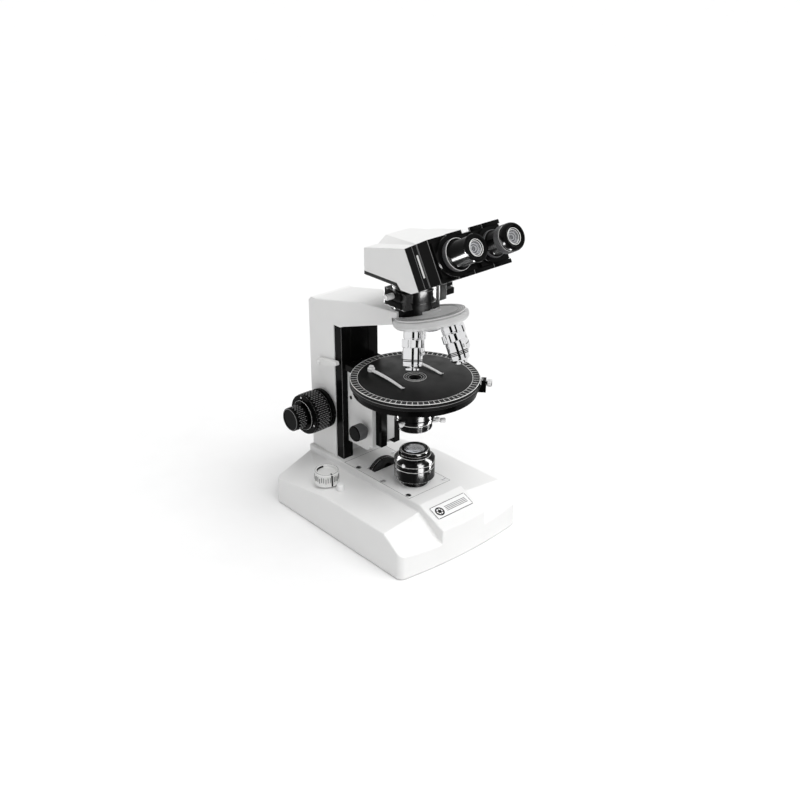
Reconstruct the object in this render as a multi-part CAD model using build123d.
"""Binocular polarizing microscope, modelled piece by piece in millimetres.

Drawn with the optical axis on the Z axis and the table at z = 0.
+X is the user's right, -Y points at the user and +Z is up.
The saved pieces have their origin in the middle of the footprint.
"""
import math
import os

from build123d import *

os.makedirs("parts", exist_ok=True)

# Distance from the optical axis back to the middle of the overall footprint
FOOTPRINT_Y = 18.96

# Base housing
BASE_BACK = 175.0
BASE_FRONT_CORNER = -87.0
BASE_FRONT_MIDDLE = -95.0
BASE_HALF_WIDTH_BACK = 98.0
BASE_HALF_WIDTH_FRONT = 103.0
BASE_WALL = 4.0
BASE_BOTTOM = 1.5
CORNER_RADIUS = 9.0
EDGE_RADIUS = 2.0
SHOULDER_EDGE_Z = 54.5
SHOULDER_INNER_Z = 58.0
PLATEAU_HALF_WIDTH = 37.6
PLATEAU_Z = 68.0
PLATEAU_SKIN = 7.0
FRONT_BREAK_Y = -50.0
PLATEAU_NOSE_Z = 49.0
SHOULDER_BACK_EDGE_Z = 36.0
SHOULDER_SLOPE_START_Y = 55.0

# Tray, feet and cover in the base
TRAY_Z = (3.0, 6.0)
FOOT_RADIUS = 12.0
FOOT_SPOTS = ((-78.0, -62.0), (78.0, -62.0), (-78.0, 148.0), (78.0, 148.0))
TRAY_SCREW_SPOTS = ((-84.0, -38.0), (84.0, -38.0), (-84.0, 30.0), (84.0, 30.0), (-84.0, 120.0), (84.0, 120.0))
COVER_HALF_WIDTH = 36.0
COVER_Y = (-30.0, 100.0)
COVER_THICKNESS = 3.0
COVER_SCREW_SPOTS = tuple((side * 31.5, y) for side in (-1, 1) for y in (-23.0, 27.0, 76.0))
SCREW_RADIUS = 2.0
SCREW_HEAD_RADIUS = 3.6
SCREW_HEAD_HEIGHT = 1.6

# Lamp path
LIGHT_Z = 38.0
WHEEL_RADIUS = 26.0
WHEEL_Y = (53.0, 66.0)
WHEEL_Z = 52.0
WHEEL_AXLE_RADIUS = 3.0
FILTER_RADIUS = 8.0
FILTER_CIRCLE = 14.0
COLLAR_NECK_RADIUS = 18.0
COLLAR_RADIUS = 26.5
COLLAR_BODY_Z = (78.0, 100.0)
SPIGOT_RADIUS = 18.4
SPIGOT_TOP = 116.5
FIELD_RING_Z = (100.4, 109.5)
FIELD_LENS_RADIUS = 16.0
FIELD_PIN_DEG = 18.0
LIGHT_BORE = 12.0

# Lamp controls on the left shoulder
DIMMER_SPOT = (-76.0, 89.0)
DIMMER_RADIUS = 17.0
DIMMER_HEIGHT = 19.0
PILOT_SPOT = (-74.5, 62.0)
PILOT_RADIUS = 5.0

# Stand
COLUMN_HALF_WIDTH = 32.5
COLUMN_BACK = 172.0
COLUMN_FRONT = 121.0
COLUMN_TOP = 286.4
ARM_TIP_Y = -2.0
ARM_TIP_TOP = 314.0
ARM_TIP_BOTTOM = 298.4
ARM_BEND = (63.0, 307.7)
ARM_THROAT = (101.5, 263.7)
RAIL_FRONT = 107.7
RAIL_TOP = 260.9
RAIL_INNER = 15.0
RAIL_OUTER = 31.0

# Focus drive
KNOB_Y = 143.5
KNOB_Z = 134.5
COARSE_RADIUS = 27.5
FINE_RADIUS = 16.0
COARSE_SHAFT_RADIUS = 6.0
FINE_SHAFT_RADIUS = 3.0
RUNNING_GAP = 0.05
CLEARANCE = 0.3
BUSH_RADIUS = 9.0
PINION_TEETH = 16
PINION_PITCH_RADIUS = 8.0
PINION_HALF_WIDTH = 8.0
TOOTH_HEIGHT = 0.9
TOOTH_DEPTH = 1.2
TOOTH_HALF = 0.5
TOOTH_TIP_HALF = 0.2
LEVER_PIVOT = (147.5, 200.8)
LEVER_REACH = 35.0
LEVER_RISE_DEG = 14.0

# Stage carrier
CARRIER_HALF_WIDTH = 22.0
CARRIER_Y = (58.0, 107.3)
CARRIER_Z = (94.0, 200.0)
TONGUE_HALF_WIDTH = 11.8
TONGUE_Z = (104.0, 186.0)
CONDENSER_RAIL_Y = 47.0
CONDENSER_RAIL_Z = (104.0, 190.0)
CONDENSER_RAIL_X = (6.2, 16.0)
CONDENSER_TONGUE_Z = (112.5, 176.0)

# Stage
STAGE_TOP = 218.0
STAGE_RADIUS = 82.5
STAGE_PLATE_Z = (209.0, 218.0)
STAGE_BASE_RADIUS = 79.0
STAGE_BASE_Z = (200.0, 208.7)
STAGE_BEARING_RADIUS = 60.0
STAGE_BEARING_Z = 204.0
STAGE_BASE_HOLE = 30.0
INSERT_RADIUS = 14.5
INSERT_APERTURE = 8.0
INSERT_THICKNESS = 4.0
CLIP_SPOT = (29.5, 50.0)
CLIP_REACH = 68.0
CLIP_TURN_DEG = {-1: -5.5, 1: 0.0}
VERNIER_DEG = -48.0

# Condenser
CONDENSER_RADIUS = 25.0
CONDENSER_CUP_Z = (158.0, 183.0)
POLARIZER_Z = (148.0, 157.7)
CONDENSER_KNOB = (71.0, 124.0)
CONDENSER_KNOB_RADIUS = 10.5
CONDENSER_PINION_TEETH = 10
CONDENSER_PITCH_RADIUS = 5.0

# Nosepiece and objectives
NOSE_TILT_DEG = 14.0
SEAT_CIRCLE = 31.0
SEAT_Z = 290.0
DISC_RADIUS = 46.0
DISC_TOP = 13.0
NOSE_GAP = 0.4
CAP_RADIUS = 43.0
CAP_THICKNESS = 2.4
PIVOT_RADIUS = 5.0
OBJECTIVE_LENGTH = 47.0
THREAD_RADIUS = 10.1

# Neck and its slides
NECK_RADIUS = 29.5
MOUNT_TOP = 319.0
NECK_TOP = 357.0
NECK_BORE = 13.0
ANALYZER_Z = (332.2, 339.8)
BERTRAND_Z = (321.0, 328.6)
SLIDE_HALF_WIDTH = 14.0
SLIDE_BLOCK = (34.0, 19.0)

# Head and eyepieces
HEAD_HALF_WIDTH = 55.0
HEAD_BACK = 31.0
HEAD_FLOOR = 364.0
HEAD_BACK_TOP = 392.6
HEAD_SKIN = 3.0
FACE_CENTER = (0.0, -90.2, 405.7)
FACE_HALF_HEIGHT = 25.9
FRONT_BLOCK_DEPTH = 42.5
TUBE_TILT_DEG = 28.0
EYE_X = 30.0
EYE_BORE = 11.6


def along_z(radius, bottom, top, x=0.0, y=0.0):
    """Cylinder standing on the Z axis direction."""
    flat = (Align.CENTER, Align.CENTER, Align.MIN)
    return Pos(x, y, bottom) * Cylinder(radius, top - bottom, align=flat)


def along_x(radius, start, end, y, z):
    """Cylinder lying along X."""
    middle = (start + end) / 2
    return Pos(middle, y, z) * Rot(0, 90, 0) * Cylinder(radius, abs(end - start))


def along_y(radius, start, end, x, z):
    """Cylinder lying along Y."""
    middle = (start + end) / 2
    return Pos(x, middle, z) * Rot(90, 0, 0) * Cylinder(radius, abs(end - start))


def block(x_range, y_range, z_range):
    """Box between pairs of limits."""
    size = [high - low for low, high in (x_range, y_range, z_range)]
    middle = [(low + high) / 2 for low, high in (x_range, y_range, z_range)]
    return Pos(*middle) * Box(*size)


def side_prism(points, half_width):
    """Polygon drawn as (y, z) and extruded both ways along X."""
    face = Plane.YZ * make_face(Polyline(*points, close=True))
    return extrude(face, half_width, both=True)


def front_prism(points, back, front):
    """Polygon drawn as (x, z) and extruded along Y."""
    outline = [(x, back, z) for x, z in points]
    return extrude(make_face(Polyline(*outline, close=True)), back - front, dir=(0, -1, 0))


def turned(profile):
    """Solid of revolution about Z from (radius, z) points."""
    return revolve(Plane.XZ * make_face(Polyline(*profile, close=True)), Axis.Z)


def save(shape, node):
    """Write one node, with the origin moved to the middle of the footprint."""
    move = Pos(0, -FOOTPRINT_Y, 0)
    placed = move * shape
    if shape.children:
        placed = Compound(children=[move * piece for piece in shape.children])
    export_step(placed, "parts/" + node + ".step")


def tilted(tilt, origin):
    """Plane whose normal is +Z turned by the tilt about X."""
    angle = math.radians(tilt)
    normal = (0, math.sin(angle), math.cos(angle))
    return Plane(origin=origin, x_dir=(1, 0, 0), z_dir=normal)


def nose_center():
    """Middle of the objective seats, on the turret axis."""
    angle = math.radians(NOSE_TILT_DEG)
    return (0, -SEAT_CIRCLE * math.cos(angle), SEAT_Z + SEAT_CIRCLE * math.sin(angle))


NOSE = tilted(NOSE_TILT_DEG, nose_center())
FACE_ANGLE = math.radians(TUBE_TILT_DEG)
FACE = Plane(origin=FACE_CENTER, x_dir=(1, 0, 0), z_dir=(0, -math.cos(FACE_ANGLE), math.sin(FACE_ANGLE)))


def base_outline(inset):
    """Plan outline of the base, shrunk by an inset."""
    back = BASE_BACK - inset
    corner = BASE_FRONT_CORNER + inset
    middle = BASE_FRONT_MIDDLE + inset
    half_back = BASE_HALF_WIDTH_BACK - inset
    half_front = BASE_HALF_WIDTH_FRONT - inset
    sides = Polyline((half_front, corner), (half_back, back), (-half_back, back), (-half_front, corner))
    bow = ThreePointArc((-half_front, corner), (0, middle), (half_front, corner))
    face = make_face(Curve() + [sides, bow])
    return fillet(face.vertices(), max(CORNER_RADIUS - inset, 1.0))


def shoulder_slope(side, inset):
    """Solid above the plane that lets one shoulder fall away towards its back corner."""
    inner = Vector(side * PLATEAU_HALF_WIDTH, BASE_BACK, SHOULDER_INNER_Z - inset)
    corner = Vector(side * BASE_HALF_WIDTH_BACK, BASE_BACK, SHOULDER_BACK_EDGE_Z - inset)
    forward = Vector(side * BASE_HALF_WIDTH_FRONT, SHOULDER_SLOPE_START_Y, SHOULDER_EDGE_Z - inset)
    normal = (corner - inner).cross(forward - inner) * -side
    plane = Plane(origin=inner, x_dir=corner - inner, z_dir=normal)
    return plane.location * Box(600, 600, 80, align=(Align.CENTER, Align.CENTER, Align.MIN))


def base_form(inset, plateau_drop, bottom):
    """Outer shape of the base, or its hollow when inset."""
    half = BASE_HALF_WIDTH_FRONT + 2
    plan = Pos(0, 0, bottom) * extrude(base_outline(inset), PLATEAU_Z)
    shoulder_top = SHOULDER_INNER_Z - inset
    edge = SHOULDER_EDGE_Z - inset
    cross = [(-half, 0), (-half, edge), (-PLATEAU_HALF_WIDTH, shoulder_top)]
    cross += [(PLATEAU_HALF_WIDTH, shoulder_top), (half, edge), (half, 0)]
    profile = [(BASE_BACK, 0), (BASE_BACK, 60 - inset)]
    profile += [(-46.9, 60 - inset), (BASE_FRONT_MIDDLE, 28.8 - inset), (BASE_FRONT_MIDDLE, 0)]
    shoulders = plan & front_prism(cross, BASE_BACK, BASE_FRONT_MIDDLE) & side_prism(profile, half)
    shoulders -= shoulder_slope(-1, inset) + shoulder_slope(1, inset)
    ridge = [(BASE_BACK, 0), (BASE_BACK, PLATEAU_Z - plateau_drop)]
    ridge += [(FRONT_BREAK_Y, PLATEAU_Z - plateau_drop)]
    ridge += [(BASE_FRONT_MIDDLE, PLATEAU_NOSE_Z - plateau_drop), (BASE_FRONT_MIDDLE, 0)]
    plateau = plan & side_prism(ridge, PLATEAU_HALF_WIDTH - inset)
    return shoulders + plateau


def base_housing():
    """Cast base cover, open below."""
    outer = base_form(0, 0, BASE_BOTTOM)
    rounded = [edge for edge in outer.edges() if edge.center().Z > BASE_BOTTOM + 28]
    outer = fillet(rounded, EDGE_RADIUS)
    shell = outer - base_form(BASE_WALL, PLATEAU_SKIN, BASE_BOTTOM - 1)
    for x, y in TRAY_SCREW_SPOTS:
        post = along_z(5, TRAY_Z[1], 52, x, y) - along_z(SCREW_RADIUS, 0, 20, x, y)
        shell += post & outer
    recess = block((-COVER_HALF_WIDTH, COVER_HALF_WIDTH), COVER_Y, (PLATEAU_Z - COVER_THICKNESS, 90))
    access = block((-26.5, 26.5), (40, 95), (40, 90))
    shell -= recess + access + along_z(COLLAR_NECK_RADIUS, 40, 90)
    for x, y in COVER_SCREW_SPOTS:
        shell -= along_z(SCREW_RADIUS, 50, 70, x, y)
    shell -= along_z(4.5, 40, 80, *DIMMER_SPOT) + along_z(3, 40, 80, *PILOT_SPOT)
    shell -= block((-60 - 14, -60 + 14), (150, 190), (14, 34))
    return shell


def base_tray():
    """Closing tray with the lamp-path castings."""
    inset = BASE_WALL + CLEARANCE
    tray = Pos(0, 0, TRAY_Z[0]) * extrude(base_outline(inset), TRAY_Z[1] - TRAY_Z[0])
    for x, y in TRAY_SCREW_SPOTS:
        tray -= along_z(SCREW_RADIUS, 0, 20, x, y)
    wheel_post = block((-14, 14), (69, 72), (5, 60)) - along_y(9, 60, 80, 0, LIGHT_Z)
    wheel_post += along_y(WHEEL_AXLE_RADIUS, 51, 70, 0, WHEEL_Z)
    lens_post = block((-17, 17), (82, 90), (5, 55)) - along_y(12, 80, 95, 0, LIGHT_Z)
    wedge = side_prism([(-24, 5), (28, 5), (28, 8), (-24, 60)], 15)
    return tray + wheel_post + lens_post + wedge


def mirror():
    """Flat mirror lying on the 45 degree wedge."""
    plate = Box(30, 60, 3, align=(Align.CENTER, Align.CENTER, Align.MIN))
    return Pos(0, 2, 34) * Rot(-45, 0, 0) * plate


def screws():
    """Tray screws and cover screws, one pattern."""
    group = []
    for x, y in TRAY_SCREW_SPOTS:
        head = along_z(SCREW_HEAD_RADIUS, TRAY_Z[0] - 1.4, TRAY_Z[0], x, y)
        group.append(head + along_z(SCREW_RADIUS, TRAY_Z[0], 18, x, y))
    for x, y in COVER_SCREW_SPOTS:
        head = along_z(SCREW_HEAD_RADIUS, PLATEAU_Z - SCREW_HEAD_HEIGHT, PLATEAU_Z + 0.4, x, y)
        slot = block((x - 5, x + 5), (y - 0.5, y + 0.5), (PLATEAU_Z - 0.6, PLATEAU_Z + 1))
        group.append(head - slot + along_z(SCREW_RADIUS, 56, PLATEAU_Z - SCREW_HEAD_HEIGHT, x, y))
    return Compound(children=group)


def base_cover():
    """Screwed cover on the plateau, with the wheel slot and the collar hole."""
    half = COVER_HALF_WIDTH
    plate = block((-half, half), COVER_Y, (PLATEAU_Z - COVER_THICKNESS, PLATEAU_Z))
    plate -= along_z(COLLAR_NECK_RADIUS, 50, 80)
    plate -= block((-24, 24), (WHEEL_Y[0] - 1, WHEEL_Y[1] + 1), (50, 80))
    for x, y in COVER_SCREW_SPOTS:
        plate -= along_z(SCREW_RADIUS, 50, 80, x, y)
        plate -= along_z(SCREW_HEAD_RADIUS, PLATEAU_Z - SCREW_HEAD_HEIGHT, 80, x, y)
    return plate


def nameplate():
    """Plain badge on the sloping front of the plateau."""
    slope = math.atan2(PLATEAU_Z - PLATEAU_NOSE_Z, FRONT_BREAK_Y - BASE_FRONT_MIDDLE)
    plate = extrude(RectangleRounded(62, 20, 3), 1)
    return Pos(0, -70, PLATEAU_Z - math.tan(slope) * 20) * Rot(math.degrees(slope), 0, 0) * plate


def filter_wheel():
    """Grooved wheel with four filter seats."""
    middle = (WHEEL_Y[0] + WHEEL_Y[1]) / 2
    wheel = along_y(WHEEL_RADIUS, *WHEEL_Y, 0, WHEEL_Z)
    groove = along_y(WHEEL_RADIUS + 1, middle - 1.5, middle + 1.5, 0, WHEEL_Z)
    wheel -= groove - along_y(WHEEL_RADIUS - 1.5, middle - 2, middle + 2, 0, WHEEL_Z)
    wheel -= along_y(WHEEL_AXLE_RADIUS + RUNNING_GAP, 50, 70, 0, WHEEL_Z)
    for quarter in range(4):
        angle = math.pi / 2 * quarter
        x = FILTER_CIRCLE * math.sin(angle)
        z = WHEEL_Z - FILTER_CIRCLE * math.cos(angle)
        wheel -= along_y(FILTER_RADIUS - (1 if quarter else 0), 50, 70, x, z)
    return wheel


def field_collar():
    """Black collar that carries the field diaphragm ring and lens."""
    bottom, top = COLLAR_BODY_Z
    profile = [(LIGHT_BORE, PLATEAU_Z - PLATEAU_SKIN), (COLLAR_NECK_RADIUS, PLATEAU_Z - PLATEAU_SKIN)]
    profile += [(COLLAR_NECK_RADIUS, bottom), (COLLAR_RADIUS, bottom), (COLLAR_RADIUS, bottom + 15)]
    profile += [(COLLAR_RADIUS - 0.6, bottom + 15.4), (COLLAR_RADIUS, bottom + 15.8), (COLLAR_RADIUS, top)]
    profile += [(SPIGOT_RADIUS, top), (SPIGOT_RADIUS, SPIGOT_TOP), (FIELD_LENS_RADIUS, SPIGOT_TOP)]
    profile += [(FIELD_LENS_RADIUS, SPIGOT_TOP - 5), (LIGHT_BORE, SPIGOT_TOP - 5)]
    return turned(profile)


def field_ring():
    """Turning ring of the field diaphragm with its pin."""
    inner = SPIGOT_RADIUS + RUNNING_GAP
    bottom, top = FIELD_RING_Z
    outline = [(inner, bottom), (COLLAR_RADIUS, bottom), (COLLAR_RADIUS, top - 5), (21.5, top), (inner, top)]
    pin = along_x(2.2, -29, -24, 0, bottom + 3.5)
    return turned(outline) + Rot(0, 0, FIELD_PIN_DEG) * pin


def dome_lens(radius, bottom, rim, crown):
    """Plano-convex lens: flat below, domed above."""
    height = crown - rim
    sphere_radius = (radius * radius + height * height) / (2 * height)
    ball = Pos(0, 0, crown - sphere_radius) * Sphere(sphere_radius)
    return along_z(radius, bottom, crown) & ball


def dimmer_knob():
    """Tapered knob with a recessed top and its shaft."""
    x, y = DIMMER_SPOT
    foot = SHOULDER_INNER_Z - 0.8
    profile = [(0, 0), (DIMMER_RADIUS - 1.5, 0), (DIMMER_RADIUS, 1.5), (DIMMER_RADIUS - 0.9, DIMMER_HEIGHT - 1)]
    profile += [(DIMMER_RADIUS - 2, DIMMER_HEIGHT), (12.5, DIMMER_HEIGHT), (12, DIMMER_HEIGHT - 1.5)]
    profile += [(0, DIMMER_HEIGHT - 1.5)]
    knob = Pos(x, y, foot) * turned(profile)
    return knob + along_z(3, foot - 14, foot + 1, x, y)


def dimmer_pot():
    """Potentiometer body under the shoulder."""
    x, y = DIMMER_SPOT
    body = along_z(12, 36, 50, x, y) + along_z(4.5, 50, 54.5, x, y)
    return body - along_z(3 + RUNNING_GAP, 40, 60, x, y)


def stand_frame():
    """Column and arm casting with the focus cavity."""
    outline = [(COLUMN_BACK, PLATEAU_Z), (COLUMN_BACK, COLUMN_TOP - 5), (COLUMN_BACK - 5, COLUMN_TOP)]
    outline += [(COLUMN_BACK - 11, COLUMN_TOP), ARM_BEND, (ARM_TIP_Y, ARM_TIP_TOP)]
    outline += [(ARM_TIP_Y, ARM_TIP_BOTTOM), ARM_THROAT, (RAIL_FRONT, RAIL_TOP)]
    outline += [(COLUMN_FRONT, RAIL_TOP), (COLUMN_FRONT, PLATEAU_Z)]
    frame = side_prism(outline, COLUMN_HALF_WIDTH)
    long_edges = frame.edges().filter_by(Plane.YZ).group_by(Axis.X)
    top_edges = [edge for side in (long_edges[0], long_edges[-1]) for edge in side if edge.center().Z > 283]
    frame = fillet([edge for edge in top_edges if edge.center().Z > 284 and edge.length > 30], 2.0)
    frame -= block((-24, 24), (127, 164), (72, 240))
    frame -= block((-12.3, 12.3), (120, 130), (TONGUE_Z[0] - 13, TONGUE_Z[1] + 19))
    frame -= along_x(BUSH_RADIUS, -40, 40, KNOB_Y, KNOB_Z)
    frame -= along_x(3 + RUNNING_GAP, -40, -26, *LEVER_PIVOT)
    frame -= along_z(NECK_RADIUS, 280, 330)
    frame -= NOSE.location * along_z(DISC_RADIUS + 1.5, -30, DISC_TOP + CAP_THICKNESS)
    return frame


def focus_rails():
    """Two upright guide rails in front of the column, with a filler plate between them above the rack."""
    rails = []
    for side in (-1, 1):
        low, high = sorted((side * RAIL_INNER, side * RAIL_OUTER))
        rail = block((low, high), (RAIL_FRONT, COLUMN_FRONT), (PLATEAU_Z, RAIL_TOP))
        rails.append(rail)
    half = RAIL_INNER - RUNNING_GAP
    rails.append(block((-half, half), (RAIL_FRONT + 0.6, COLUMN_FRONT), (TONGUE_Z[1] + 21, RAIL_TOP)))
    return Compound(children=rails)


def focus_bushes():
    """Flanged bushes for the coarse shaft."""
    bushes = []
    for side in (-1, 1):
        bush = along_x(BUSH_RADIUS, side * 24, side * 32.5, KNOB_Y, KNOB_Z)
        bush += along_x(BUSH_RADIUS + 3, side * 32.5, side * 34.5, KNOB_Y, KNOB_Z)
        bush -= along_x(COARSE_SHAFT_RADIUS + RUNNING_GAP, side * 20, side * 40, KNOB_Y, KNOB_Z)
        bushes.append(bush)
    return Compound(children=bushes)


def toothed_wheel(teeth, pitch_radius, half_width, bore, start_angle):
    """Small pinion about X with straight-sided teeth."""
    root = pitch_radius - TOOTH_DEPTH
    tip = pitch_radius + TOOTH_HEIGHT
    tooth = [(root - 0.5, -TOOTH_HALF - 0.3), (pitch_radius, -TOOTH_HALF), (tip, -TOOTH_TIP_HALF)]
    tooth += [(tip, TOOTH_TIP_HALF), (pitch_radius, TOOTH_HALF), (root - 0.5, TOOTH_HALF + 0.3)]
    shape = extrude(make_face(Polyline(*tooth, close=True)), half_width, both=True)
    wheel = Cylinder(root, half_width * 2)
    for number in range(teeth):
        wheel += Rot(0, 0, start_angle + number * 360 / teeth) * shape
    wheel -= Cylinder(bore, half_width * 3)
    return wheel


def laid_on_x(shape, y, z):
    """Stand a Z-axis wheel on the X axis; its local +X then points to -Y."""
    plane = Plane(origin=(0, y, z), x_dir=(0, -1, 0), z_dir=(1, 0, 0))
    return plane.location * shape


def rack_teeth(pitch_y, z_range, middle_z, half_width):
    """Rack facing +Y whose gap sits at the middle height."""
    pitch = math.pi
    teeth = None
    count = int((z_range[1] - z_range[0]) / pitch / 2)
    for number in range(-count, count):
        z = middle_z + (number + 0.5) * pitch
        if not z_range[0] + 1 < z < z_range[1] - 1:
            continue
        outline = [(pitch_y - TOOTH_DEPTH - 0.5, z - TOOTH_HALF - 0.3), (pitch_y, z - TOOTH_HALF)]
        outline += [(pitch_y + TOOTH_HEIGHT, z - TOOTH_TIP_HALF), (pitch_y + TOOTH_HEIGHT, z + TOOTH_TIP_HALF)]
        outline += [(pitch_y, z + TOOTH_HALF), (pitch_y - TOOTH_DEPTH - 0.5, z + TOOTH_HALF + 0.3)]
        tooth = side_prism(outline, half_width)
        teeth = tooth if teeth is None else teeth + tooth
    return teeth


def coarse_shaft():
    """Hollow coarse shaft with its pinion."""
    shaft = along_x(COARSE_SHAFT_RADIUS, -68, 68, KNOB_Y, KNOB_Z)
    shaft -= along_x(FINE_SHAFT_RADIUS + RUNNING_GAP, -80, 80, KNOB_Y, KNOB_Z)
    pinion = toothed_wheel(PINION_TEETH, PINION_PITCH_RADIUS, PINION_HALF_WIDTH, COARSE_SHAFT_RADIUS, 0)
    return shaft + laid_on_x(pinion, KNOB_Y, KNOB_Z)


def knob_on_x(profile, side, y, z):
    """Turn a (radius, distance) profile about an X axis line."""
    plane = Plane(origin=(0, y, z), x_dir=(0, 1, 0), z_dir=(side, 0, 0))
    return plane.location * turned(profile)


def coarse_knobs():
    """Left and right coarse knobs."""
    bore = COARSE_SHAFT_RADIUS
    radius = COARSE_RADIUS
    profile = [(bore, 35.5), (radius, 35.5), (radius, 40), (radius - 4, 41), (radius - 4, 42.5)]
    profile += [(radius, 43.5), (radius, 68), (radius - 1.5, 69.5), (21, 69.5), (20, 71.5)]
    profile += [(17, 71.5), (17, 69), (bore, 69)]
    return Compound(children=[knob_on_x(profile, side, KNOB_Y, KNOB_Z) for side in (-1, 1)])


def fine_knobs():
    """Left and right fine knobs."""
    bore = FINE_SHAFT_RADIUS
    radius = FINE_RADIUS
    profile = [(bore, 72.5), (radius - 1, 72.5), (radius, 73.5), (radius, 90.5), (radius - 1.2, 92)]
    profile += [(radius - 3.5, 92), (radius - 4, 91), (bore, 91)]
    return Compound(children=[knob_on_x(profile, side, KNOB_Y, KNOB_Z) for side in (-1, 1)])


def focus_lever():
    """Teardrop lever of the focus stop with its pivot pin."""
    y, z = LEVER_PIVOT
    angle = math.radians(LEVER_RISE_DEG)
    tip_y = y - LEVER_REACH * math.cos(angle)
    tip_z = z + LEVER_REACH * math.sin(angle)
    big, small = 6.0, 3.0
    across_y, across_z = math.sin(angle), math.cos(angle)
    web = [(y + big * across_y, z + big * across_z), (tip_y + small * across_y, tip_z + small * across_z)]
    web += [(tip_y - small * across_y, tip_z - small * across_z), (y - big * across_y, z - big * across_z)]
    lever = Pos(-35.5, 0, 0) * side_prism(web, 2.5)
    lever += along_x(big, -38, -33, y, z) + along_x(small, -38, -33, tip_y, tip_z)
    return lever + along_x(3, -33, -27, y, z)


def stage_carrier():
    """Moving block that lifts the stage, with its rack."""
    half = CARRIER_HALF_WIDTH
    carrier = block((-half, half), CARRIER_Y, CARRIER_Z)
    carrier -= block((-17, 17), (63, 102), (99, 196))
    carrier -= block((-6.3, 6.3), (56, 70), (99, 196))
    carrier -= side_prism([(50, 88), (50, 101), (64, 101), (68, 94), (68, 88)], half + 1)
    root = KNOB_Y - PINION_PITCH_RADIUS - TOOTH_DEPTH
    carrier += block((-TONGUE_HALF_WIDTH, TONGUE_HALF_WIDTH), (105, root), TONGUE_Z)
    carrier += rack_teeth(KNOB_Y - PINION_PITCH_RADIUS, TONGUE_Z, KNOB_Z, PINION_HALF_WIDTH - 1)
    carrier -= along_x(3 + RUNNING_GAP, -30, 30, *CONDENSER_KNOB)
    return carrier


def condenser_rails():
    """Two short black rails on the front of the carrier."""
    rails = []
    for side in (-1, 1):
        sides = sorted(side * x for x in CONDENSER_RAIL_X)
        rails.append(block(sides, (CONDENSER_RAIL_Y, CARRIER_Y[0]), CONDENSER_RAIL_Z))
    return Compound(children=rails)


def stage_base():
    """Fixed lower stage with the vernier block."""
    low, high = STAGE_BASE_Z
    base = along_z(STAGE_BASE_RADIUS, low, high)
    base += block((-28, 28), (50, 104), STAGE_BASE_Z)
    arm = block((70, 89.6), (-5.5, 5.5), (low + 3, high)) + block((83.3, 89.6), (-5.5, 5.5), (low + 3, STAGE_TOP + 1))
    arm -= along_x(2 + RUNNING_GAP, 82, 95, 0, 214)
    base += Rot(0, 0, VERNIER_DEG) * arm
    base -= along_z(STAGE_BASE_HOLE, low - 1, high + 1)
    return base - along_z(STAGE_BEARING_RADIUS + RUNNING_GAP, STAGE_BEARING_Z, high + 1)


def stage_plate():
    """Rotating graduated stage."""
    low, high = STAGE_PLATE_Z
    radius = STAGE_RADIUS
    profile = [(INSERT_RADIUS, high), (radius - 1, high), (radius, high - 1), (radius, high - 4)]
    profile += [(radius - 0.8, high - 4.4), (radius, high - 4.8), (radius, low)]
    profile += [(STAGE_BEARING_RADIUS, low), (STAGE_BEARING_RADIUS, STAGE_BEARING_Z + CLEARANCE)]
    profile += [(STAGE_BASE_HOLE + 4, STAGE_BEARING_Z + CLEARANCE), (STAGE_BASE_HOLE + 4, low + 1)]
    profile += [(INSERT_RADIUS - 2, low + 1), (INSERT_RADIUS - 2, high - INSERT_THICKNESS)]
    profile += [(INSERT_RADIUS, high - INSERT_THICKNESS)]
    plate = turned(profile)
    for side in (-1, 1):
        plate -= along_z(2 + RUNNING_GAP, low, high + 1, side * CLIP_SPOT[0], CLIP_SPOT[1])
    return plate


def stage_insert():
    """Drop-in ring at the stage centre."""
    low = STAGE_TOP - INSERT_THICKNESS
    profile = [(INSERT_APERTURE, low), (INSERT_RADIUS, low), (INSERT_RADIUS, STAGE_TOP)]
    profile += [(11.5, STAGE_TOP), (11.2, STAGE_TOP - 0.6), (INSERT_APERTURE, STAGE_TOP - 0.6)]
    return turned(profile)


def stage_clip(side):
    """Spring clip turning on its post."""
    x, y = side * CLIP_SPOT[0], CLIP_SPOT[1]
    bottom = STAGE_TOP + 0.2
    post = along_z(5, bottom, bottom + 2.5, x, y) + along_z(3.2, bottom + 2.5, bottom + 7, x, y)
    post += along_z(2, STAGE_TOP - 6, bottom + 1, x, y)
    bar = block((-3, 3), (-CLIP_REACH, 0), (bottom + 0.8, bottom + 2))
    toe = Pos(0, -CLIP_REACH, 0) * block((-3, 3), (-1.5, 3), (bottom, bottom + 2))
    return post + Pos(x, y, 0) * Rot(0, 0, CLIP_TURN_DEG[side]) * (bar + toe)


def stage_lock_screw():
    """Radial thumb screw through the vernier block."""
    screw = along_x(2, 83.5, 90.4, 0, 214) + along_x(4.5, 90, 97, 0, 214)
    return Rot(0, 0, VERNIER_DEG) * screw


def condenser_carrier():
    """Block that holds the condenser on its rack."""
    body = block((-16, 16), (12, CONDENSER_RAIL_Y - CLEARANCE), (160, 176))
    body -= along_z(CONDENSER_RADIUS, 150, 190)
    root = CONDENSER_KNOB[0] - CONDENSER_PITCH_RADIUS - TOOTH_DEPTH
    body += block((-5.8, 5.8), (CONDENSER_RAIL_Y - 1, root), CONDENSER_TONGUE_Z)
    return body + rack_teeth(CONDENSER_KNOB[0] - CONDENSER_PITCH_RADIUS, CONDENSER_TONGUE_Z, CONDENSER_KNOB[1], 5)


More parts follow.
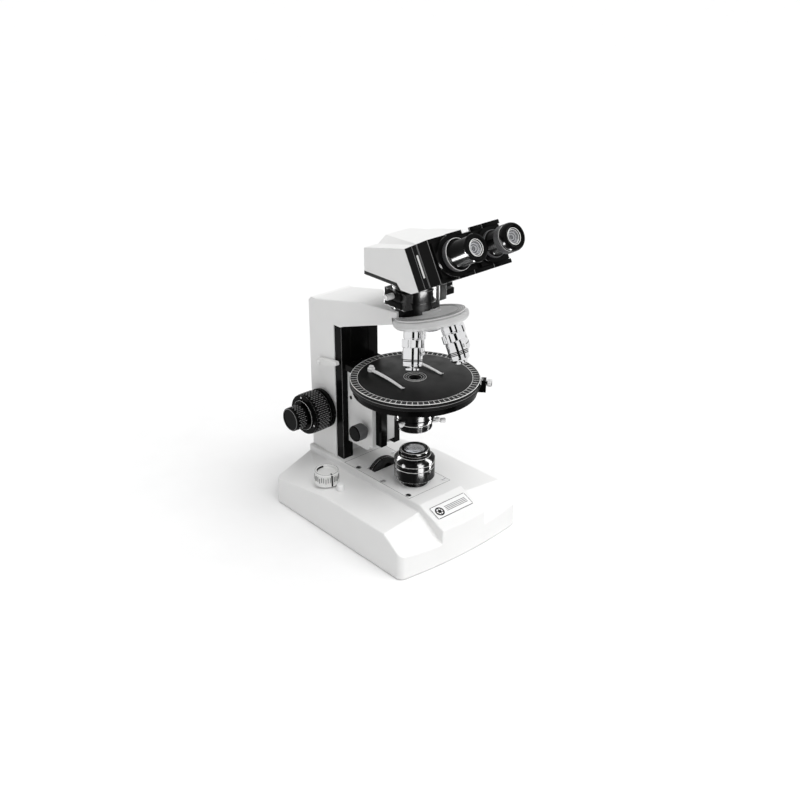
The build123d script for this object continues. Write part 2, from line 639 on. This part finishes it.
def condenser_knob():
    """Condenser knob, shaft and pinion."""
    y, z = CONDENSER_KNOB
    radius = CONDENSER_KNOB_RADIUS
    profile = [(0, 22.6), (5, 22.6), (5, 27), (radius - 1, 27), (radius, 28), (radius, 41), (radius - 1, 42), (0, 42)]
    knob = knob_on_x(profile, -1, y, z) + along_x(3, -25, 21.5, y, z)
    pinion = toothed_wheel(CONDENSER_PINION_TEETH, CONDENSER_PITCH_RADIUS, 6, 3, 0)
    return knob + laid_on_x(pinion, y, z)


def condenser_body():
    """Black condenser cup with its bright top sleeve."""
    low, high = CONDENSER_CUP_Z
    profile = [(12, low), (CONDENSER_RADIUS - 2, low), (CONDENSER_RADIUS, low + 2), (CONDENSER_RADIUS, high)]
    profile += [(21, high), (19, high + 3), (19, high + 11), (15, high + 13), (12, high + 13)]
    body = turned(profile)
    body += turned([(12, POLARIZER_Z[0]), (16, POLARIZER_Z[0]), (16, low + 1), (12, low + 1)])
    return body + along_x(2, -33, -23, 0, low + 6)


def polarizer_ring():
    """Turning polarizer ring with its lever."""
    low, high = POLARIZER_Z
    inner = 16 + RUNNING_GAP
    ring = turned([(inner, low), (21, low), (22, low + 1), (22, high), (inner, high)])
    lever = along_x(1.6, 20, 36, 0, low + 5) + along_x(3, 34, 40, 0, low + 5)
    return ring + Rot(0, 0, -30) * lever


def nosepiece_disc():
    """Turret disc; its underside is the cone of the objective seats."""
    slope = math.tan(math.radians(NOSE_TILT_DEG))
    rim_low = (DISC_RADIUS - 2 - SEAT_CIRCLE) * slope
    heel = (8 - SEAT_CIRCLE) * slope
    bore = PIVOT_RADIUS + RUNNING_GAP
    profile = [(bore, heel + 2), (9.5, heel + 2), (9.5, heel + 0.4), (DISC_RADIUS - 2, rim_low)]
    profile += [(DISC_RADIUS, rim_low + 2), (DISC_RADIUS, DISC_TOP - 2), (DISC_RADIUS - 2, DISC_TOP), (bore, DISC_TOP)]
    disc = turned(profile)
    disc -= along_z(20, 6, DISC_TOP - 3) - along_z(9, 0, 20)
    placed = NOSE.location * disc
    for number in range(4):
        placed -= objective_plane(number).location * along_z(THREAD_RADIUS, -3, 30)
    return placed


def objective_plane(number):
    """Seat plane of one objective; its normal points up the barrel."""
    turn = math.radians(90 * number)
    tilt = math.radians(NOSE_TILT_DEG)
    out = Vector(-math.sin(turn), math.cos(turn), 0)
    lean = out * math.sin(tilt) - Vector(0, 0, math.cos(tilt))
    origin = NOSE.from_local_coords(out * SEAT_CIRCLE)
    tip = NOSE.from_local_coords(out * SEAT_CIRCLE + lean)
    normal = origin - tip
    return Plane(origin=origin, z_dir=normal)


def objective(number, sleeve, tip_radius):
    """One objective: thread, collar, grip ring, barrel and tip."""
    end = -OBJECTIVE_LENGTH
    profile = [(5, 6), (THREAD_RADIUS, 6), (THREAD_RADIUS, 0), (12, 0), (12, -8.5), (14, -10), (14, -19)]
    profile += [(12.4, -20), (12.4, end + 6), (11.4, end + 4), (tip_radius, end + sleeve), (tip_radius, end)]
    profile += [(tip_radius - 2, end), (tip_radius - 2.8, end + 1.5), (5, end + 1.5)]
    body = turned(profile)
    return objective_plane(number).location * body


def objective_lenses():
    """Front lens of each objective."""
    lenses = []
    for number in range(4):
        lens = along_z(5, -OBJECTIVE_LENGTH + 1.5, -OBJECTIVE_LENGTH + 5)
        lenses.append(objective_plane(number).location * lens)
    return Compound(children=lenses)


def nosepiece_mount():
    """Black ring under the neck that carries the turret pivot."""
    ring = along_z(NECK_RADIUS, 290, MOUNT_TOP)
    ring += NOSE.location * along_z(13, DISC_TOP, DISC_TOP + 6)
    ring += NOSE.location * along_z(CAP_RADIUS, DISC_TOP, DISC_TOP + CAP_THICKNESS)
    ring -= NOSE.location * along_z(120, -60, DISC_TOP + NOSE_GAP)
    ring -= along_z(NECK_BORE, 280, 330)
    return ring - NOSE.location * along_z(PIVOT_RADIUS, 0, DISC_TOP + 7)


def nosepiece_pivot():
    """Shouldered stud the turret turns on."""
    heel = (8 - SEAT_CIRCLE) * math.tan(math.radians(NOSE_TILT_DEG))
    stud = along_z(PIVOT_RADIUS, heel, DISC_TOP + 7) + along_z(8.5, heel - 1, heel + 2 - CLEARANCE)
    return NOSE.location * stud


def neck_tube():
    """Intermediate tube with two slide ways."""
    neck = along_z(NECK_RADIUS, MOUNT_TOP, NECK_TOP)
    wide, deep = SLIDE_BLOCK
    neck += block((-wide, wide), (-deep, deep), (319.6, 341.2))
    for low, high in (ANALYZER_Z, BERTRAND_Z):
        half = SLIDE_HALF_WIDTH + CLEARANCE
        neck -= block((-60, 60), (-half, half), (low - CLEARANCE, high + CLEARANCE))
    for height in (326.5, 342.5):
        neck -= along_z(NECK_RADIUS + 1, height - 0.4, height + 0.4) - along_z(NECK_RADIUS - 0.6, 300, 360)
    return neck - along_z(NECK_BORE, 300, 360)


def slide(z_range, left, right, knob_x, second_hole):
    """Optical slide with two windows and a bright knob on one end."""
    low, high = z_range
    middle = (low + high) / 2
    plate = block((left, right), (-SLIDE_HALF_WIDTH, SLIDE_HALF_WIDTH), z_range)
    plate -= along_z(11, low - 1, high + 1) + along_z(11, low - 1, high + 1, second_hole)
    return plate + along_x(3.6, *knob_x, 0, middle)


def head_base():
    """Black bottom plate of the head with its seat ring."""
    half = HEAD_HALF_WIDTH
    plate = block((-half, half), (-26, HEAD_BACK), (HEAD_FLOOR - 4.4, HEAD_FLOOR))
    plate += along_z(27, NECK_TOP, HEAD_FLOOR)
    return plate - along_z(NECK_BORE, 350, 370)


def face_corner(up, depth):
    """Corner of the front block as (y, z)."""
    _, y, z = FACE_CENTER
    angle = math.radians(TUBE_TILT_DEG)
    return (
        y + up * math.sin(angle) + depth * math.cos(angle),
        z + up * math.cos(angle) - depth * math.sin(angle),
    )


def head_shell():
    """White head cover with a raised middle."""
    top = face_corner(FACE_HALF_HEIGHT, FRONT_BLOCK_DEPTH)
    bottom = face_corner(-FACE_HALF_HEIGHT, FRONT_BLOCK_DEPTH)
    outline = [(HEAD_BACK, HEAD_FLOOR), (HEAD_BACK, HEAD_BACK_TOP), top, bottom, (-52, NECK_TOP)]
    outline += [(-34, NECK_TOP), (-27, HEAD_FLOOR)]
    shell = side_prism(outline, HEAD_HALF_WIDTH)
    back_crown = Plane.XZ.offset(-HEAD_BACK) * make_face(
        Polyline((-37, HEAD_BACK_TOP - 3), (-20, 401), (20, 401), (37, HEAD_BACK_TOP - 3), close=True)
    )
    front_crown = Plane.XZ.offset(-top[0]) * make_face(
        Polyline((-37, top[1] - 3), (-35, top[1] + 1), (35, top[1] + 1), (37, top[1] - 3), close=True)
    )
    shell += loft([back_crown, front_crown])
    skin = HEAD_SKIN
    hollow = [(HEAD_BACK - skin, HEAD_FLOOR - 5), (HEAD_BACK - skin, HEAD_BACK_TOP - skin)]
    hollow += [(top[0] + 1, top[1] - skin - 0.5), (top[0] - 3, top[1] - skin), (bottom[0] - 2, bottom[1] + 4)]
    hollow += [(-52, NECK_TOP + skin), (-36, NECK_TOP + skin), (-30, HEAD_FLOOR + 1), (-26, HEAD_FLOOR - 5)]
    return shell - side_prism(hollow, HEAD_HALF_WIDTH - skin)


def head_front():
    """Black front block that carries the eyepiece slides."""
    half = HEAD_HALF_WIDTH
    local = block((-half, half), (-FACE_HALF_HEIGHT, FACE_HALF_HEIGHT), (-FRONT_BLOCK_DEPTH, 0))
    local -= block((-half + 4, half - 4), (-FACE_HALF_HEIGHT + 4, FACE_HALF_HEIGHT - 4), (-FRONT_BLOCK_DEPTH - 1, -5))
    for side in (-1, 1):
        low, high = sorted((side * 14, side * 48))
        local -= block((low, high), (-12, 12), (-6, 1))
        near, far = sorted((side * (half - 1), side * (half + 1)))
        local -= block((near, far), (-13, 14), (-26, -23))
    return FACE.location * local


def beam_splitter():
    """Glass block above the optical axis."""
    return block((-13, 13), (-13, 13), (HEAD_FLOOR, HEAD_FLOOR + 24))


def eyepiece_tube(side, flange, ring, ring_z):
    """Sliding plate with its tube and grip ring."""
    low, high = sorted((side * 8, side * 53))
    local = block((low, high), (-21, 21), (CLEARANCE, 4))
    tube = along_z(flange, 4, 8) + along_z(ring, *ring_z) + along_z(14, 8, ring_z[1])
    local += Pos(side * EYE_X, 0, 0) * tube
    local -= Pos(side * EYE_X, 0, 0) * along_z(EYE_BORE, -5, 40)
    return FACE.location * local


def left_eyepiece():
    """Plain left eyepiece."""
    profile = [(9, 1), (EYE_BORE, 1), (EYE_BORE, 15), (15.2, 15), (15.2, 44), (14, 46.5), (12, 46.5)]
    profile += [(10, 44), (9, 44)]
    return FACE.location * (Pos(-EYE_X, 0, 0) * turned(profile))


def right_eyepiece():
    """Right eyepiece with the focusing spigot."""
    profile = [(9, 1), (EYE_BORE, 1), (EYE_BORE, 13), (14, 13), (14, 27.5), (12.5, 27.5), (12.5, 40), (9, 40)]
    return FACE.location * (Pos(EYE_X, 0, 0) * turned(profile))


def right_focus_ring():
    """Turning focus ring and rim of the right eyepiece."""
    inner = 12.5 + RUNNING_GAP
    profile = [(inner, 27.8), (16, 27.8), (16.6, 28.6), (16.6, 36), (15.6, 37), (15.6, 38.5), (16.6, 39.5)]
    profile += [(16.2, 44.5), (14.8, 47.5), (12.4, 47.5), (10.6, 44.5), (10.6, 40.3), (inner, 40.3)]
    return FACE.location * (Pos(EYE_X, 0, 0) * turned(profile))


def lamp_socket():
    """Ceramic lamp socket."""
    return block((-12, 12), (118, 134), (26, 50)) + block((-14, 14), (116, 134), (6, 26))


def lamp_bulb():
    """Small halogen bulb with two pins."""
    bulb = along_y(5.5, 100, 116, 0, LIGHT_Z) + Pos(0, 100, LIGHT_Z) * Sphere(5.5)
    return bulb + along_y(4, 116, 118, 0, LIGHT_Z)


def power_supply():
    """Transformer block on the tray."""
    core = block((30, 76), (95, 140), (TRAY_Z[1], 44))
    coil = block((36, 70), (87, 148), (14, 36))
    return core + coil


def power_inlet():
    """Appliance inlet in the back wall."""
    body = block((-74, -46), (BASE_BACK - 20, BASE_BACK - BASE_WALL), (14, 34))
    rim = block((-78, -42), (BASE_BACK, BASE_BACK + 2), (11, 37))
    throat = block((-74, -46), (BASE_BACK - 6, BASE_BACK + 1), (14, 34))
    well = block((-71.5, -48.5), (BASE_BACK - 14, BASE_BACK + 5), (16.5, 31.5))
    pins = block((-67, -65), (BASE_BACK - 15, BASE_BACK - 3), (22, 26))
    pins += block((-61, -59), (BASE_BACK - 15, BASE_BACK - 3), (25, 29))
    pins += block((-55, -53), (BASE_BACK - 15, BASE_BACK - 3), (22, 26))
    return body + rim + throat - well + pins


def pilot_lamp():
    """Small round-topped indicator on the shoulder."""
    profile = [(0, 50), (3, 50), (3, 56.3), (PILOT_RADIUS, 56.3), (PILOT_RADIUS, 62.5), (4, 65.5), (0, 66)]
    return Pos(*PILOT_SPOT, 0) * turned(profile)


def base_feet():
    """Four rubber feet under the tray."""
    return Compound(children=[along_z(FOOT_RADIUS, 0, TRAY_Z[0], x, y) for x, y in FOOT_SPOTS])


def collector_lens():
    """Lamp collector lens in its post."""
    lens = dome_lens(12, 0, 3, 7)
    return Plane(origin=(0, 83, LIGHT_Z), x_dir=(1, 0, 0), z_dir=(0, 1, 0)).location * lens


PIECES = {
    "base_housing": base_housing,
    "base_tray": base_tray,
    "base_feet": base_feet,
    "base_screws": screws,
    "base_cover": base_cover,
    "nameplate": nameplate,
    "power_inlet": power_inlet,
    "power_supply": power_supply,
    "lamp_socket": lamp_socket,
    "lamp_bulb": lamp_bulb,
    "collector_lens": collector_lens,
    "mirror": mirror,
    "pilot_lamp": pilot_lamp,
    "dimmer_pot": dimmer_pot,
    "dimmer_knob": dimmer_knob,
    "filter_wheel": filter_wheel,
    "field_collar": field_collar,
    "field_ring": field_ring,
    "field_lens": lambda: dome_lens(FIELD_LENS_RADIUS, SPIGOT_TOP - 5, SPIGOT_TOP - 1.5, SPIGOT_TOP + 1.5),
    "stand_frame": stand_frame,
    "focus_rails": focus_rails,
    "focus_bushes": focus_bushes,
    "coarse_shaft": coarse_shaft,
    "coarse_knobs": coarse_knobs,
    "fine_shaft": lambda: along_x(FINE_SHAFT_RADIUS, -90.8, 90.8, KNOB_Y, KNOB_Z),
    "fine_knobs": fine_knobs,
    "focus_lever": focus_lever,
    "stage_carrier": stage_carrier,
    "condenser_rails": condenser_rails,
    "stage_base": stage_base,
    "stage_plate": stage_plate,
    "stage_insert": stage_insert,
    "left_clip": lambda: stage_clip(-1),
    "right_clip": lambda: stage_clip(1),
    "stage_lock_screw": stage_lock_screw,
    "condenser_carrier": condenser_carrier,
    "condenser_knob": condenser_knob,
    "condenser_body": condenser_body,
    "condenser_lens": lambda: dome_lens(12, 188, 194, 197.5),
    "polarizer_ring": polarizer_ring,
    "nosepiece_mount": nosepiece_mount,
    "nosepiece_pivot": nosepiece_pivot,
    "nosepiece_disc": nosepiece_disc,
    "objective_10x": lambda: objective(0, 3.6, 8.5),
    "objective_20x": lambda: objective(1, 3.6, 8.5),
    "objective_50x": lambda: objective(2, 4.4, 8.0),
    "objective_4x": lambda: objective(3, 3.2, 9.0),
    "objective_lenses": objective_lenses,
    "neck_tube": neck_tube,
    "analyzer_slide": lambda: slide(ANALYZER_Z, -37, 49, (-48, -37), 28),
    "bertrand_slide": lambda: slide(BERTRAND_Z, -36, 52, (52, 60), 26),
    "head_base": head_base,
    "head_shell": head_shell,
    "head_front": head_front,
    "beam_splitter": beam_splitter,
    "left_tube": lambda: eyepiece_tube(-1, 24.0, 18.6, (8, 15)),
    "right_tube": lambda: eyepiece_tube(1, 21.0, 15.6, (8, 13)),
    "left_eyepiece": left_eyepiece,
    "right_eyepiece": right_eyepiece,
    "right_focus_ring": right_focus_ring,
}

for piece_name, maker in PIECES.items():
    save(maker(), piece_name)
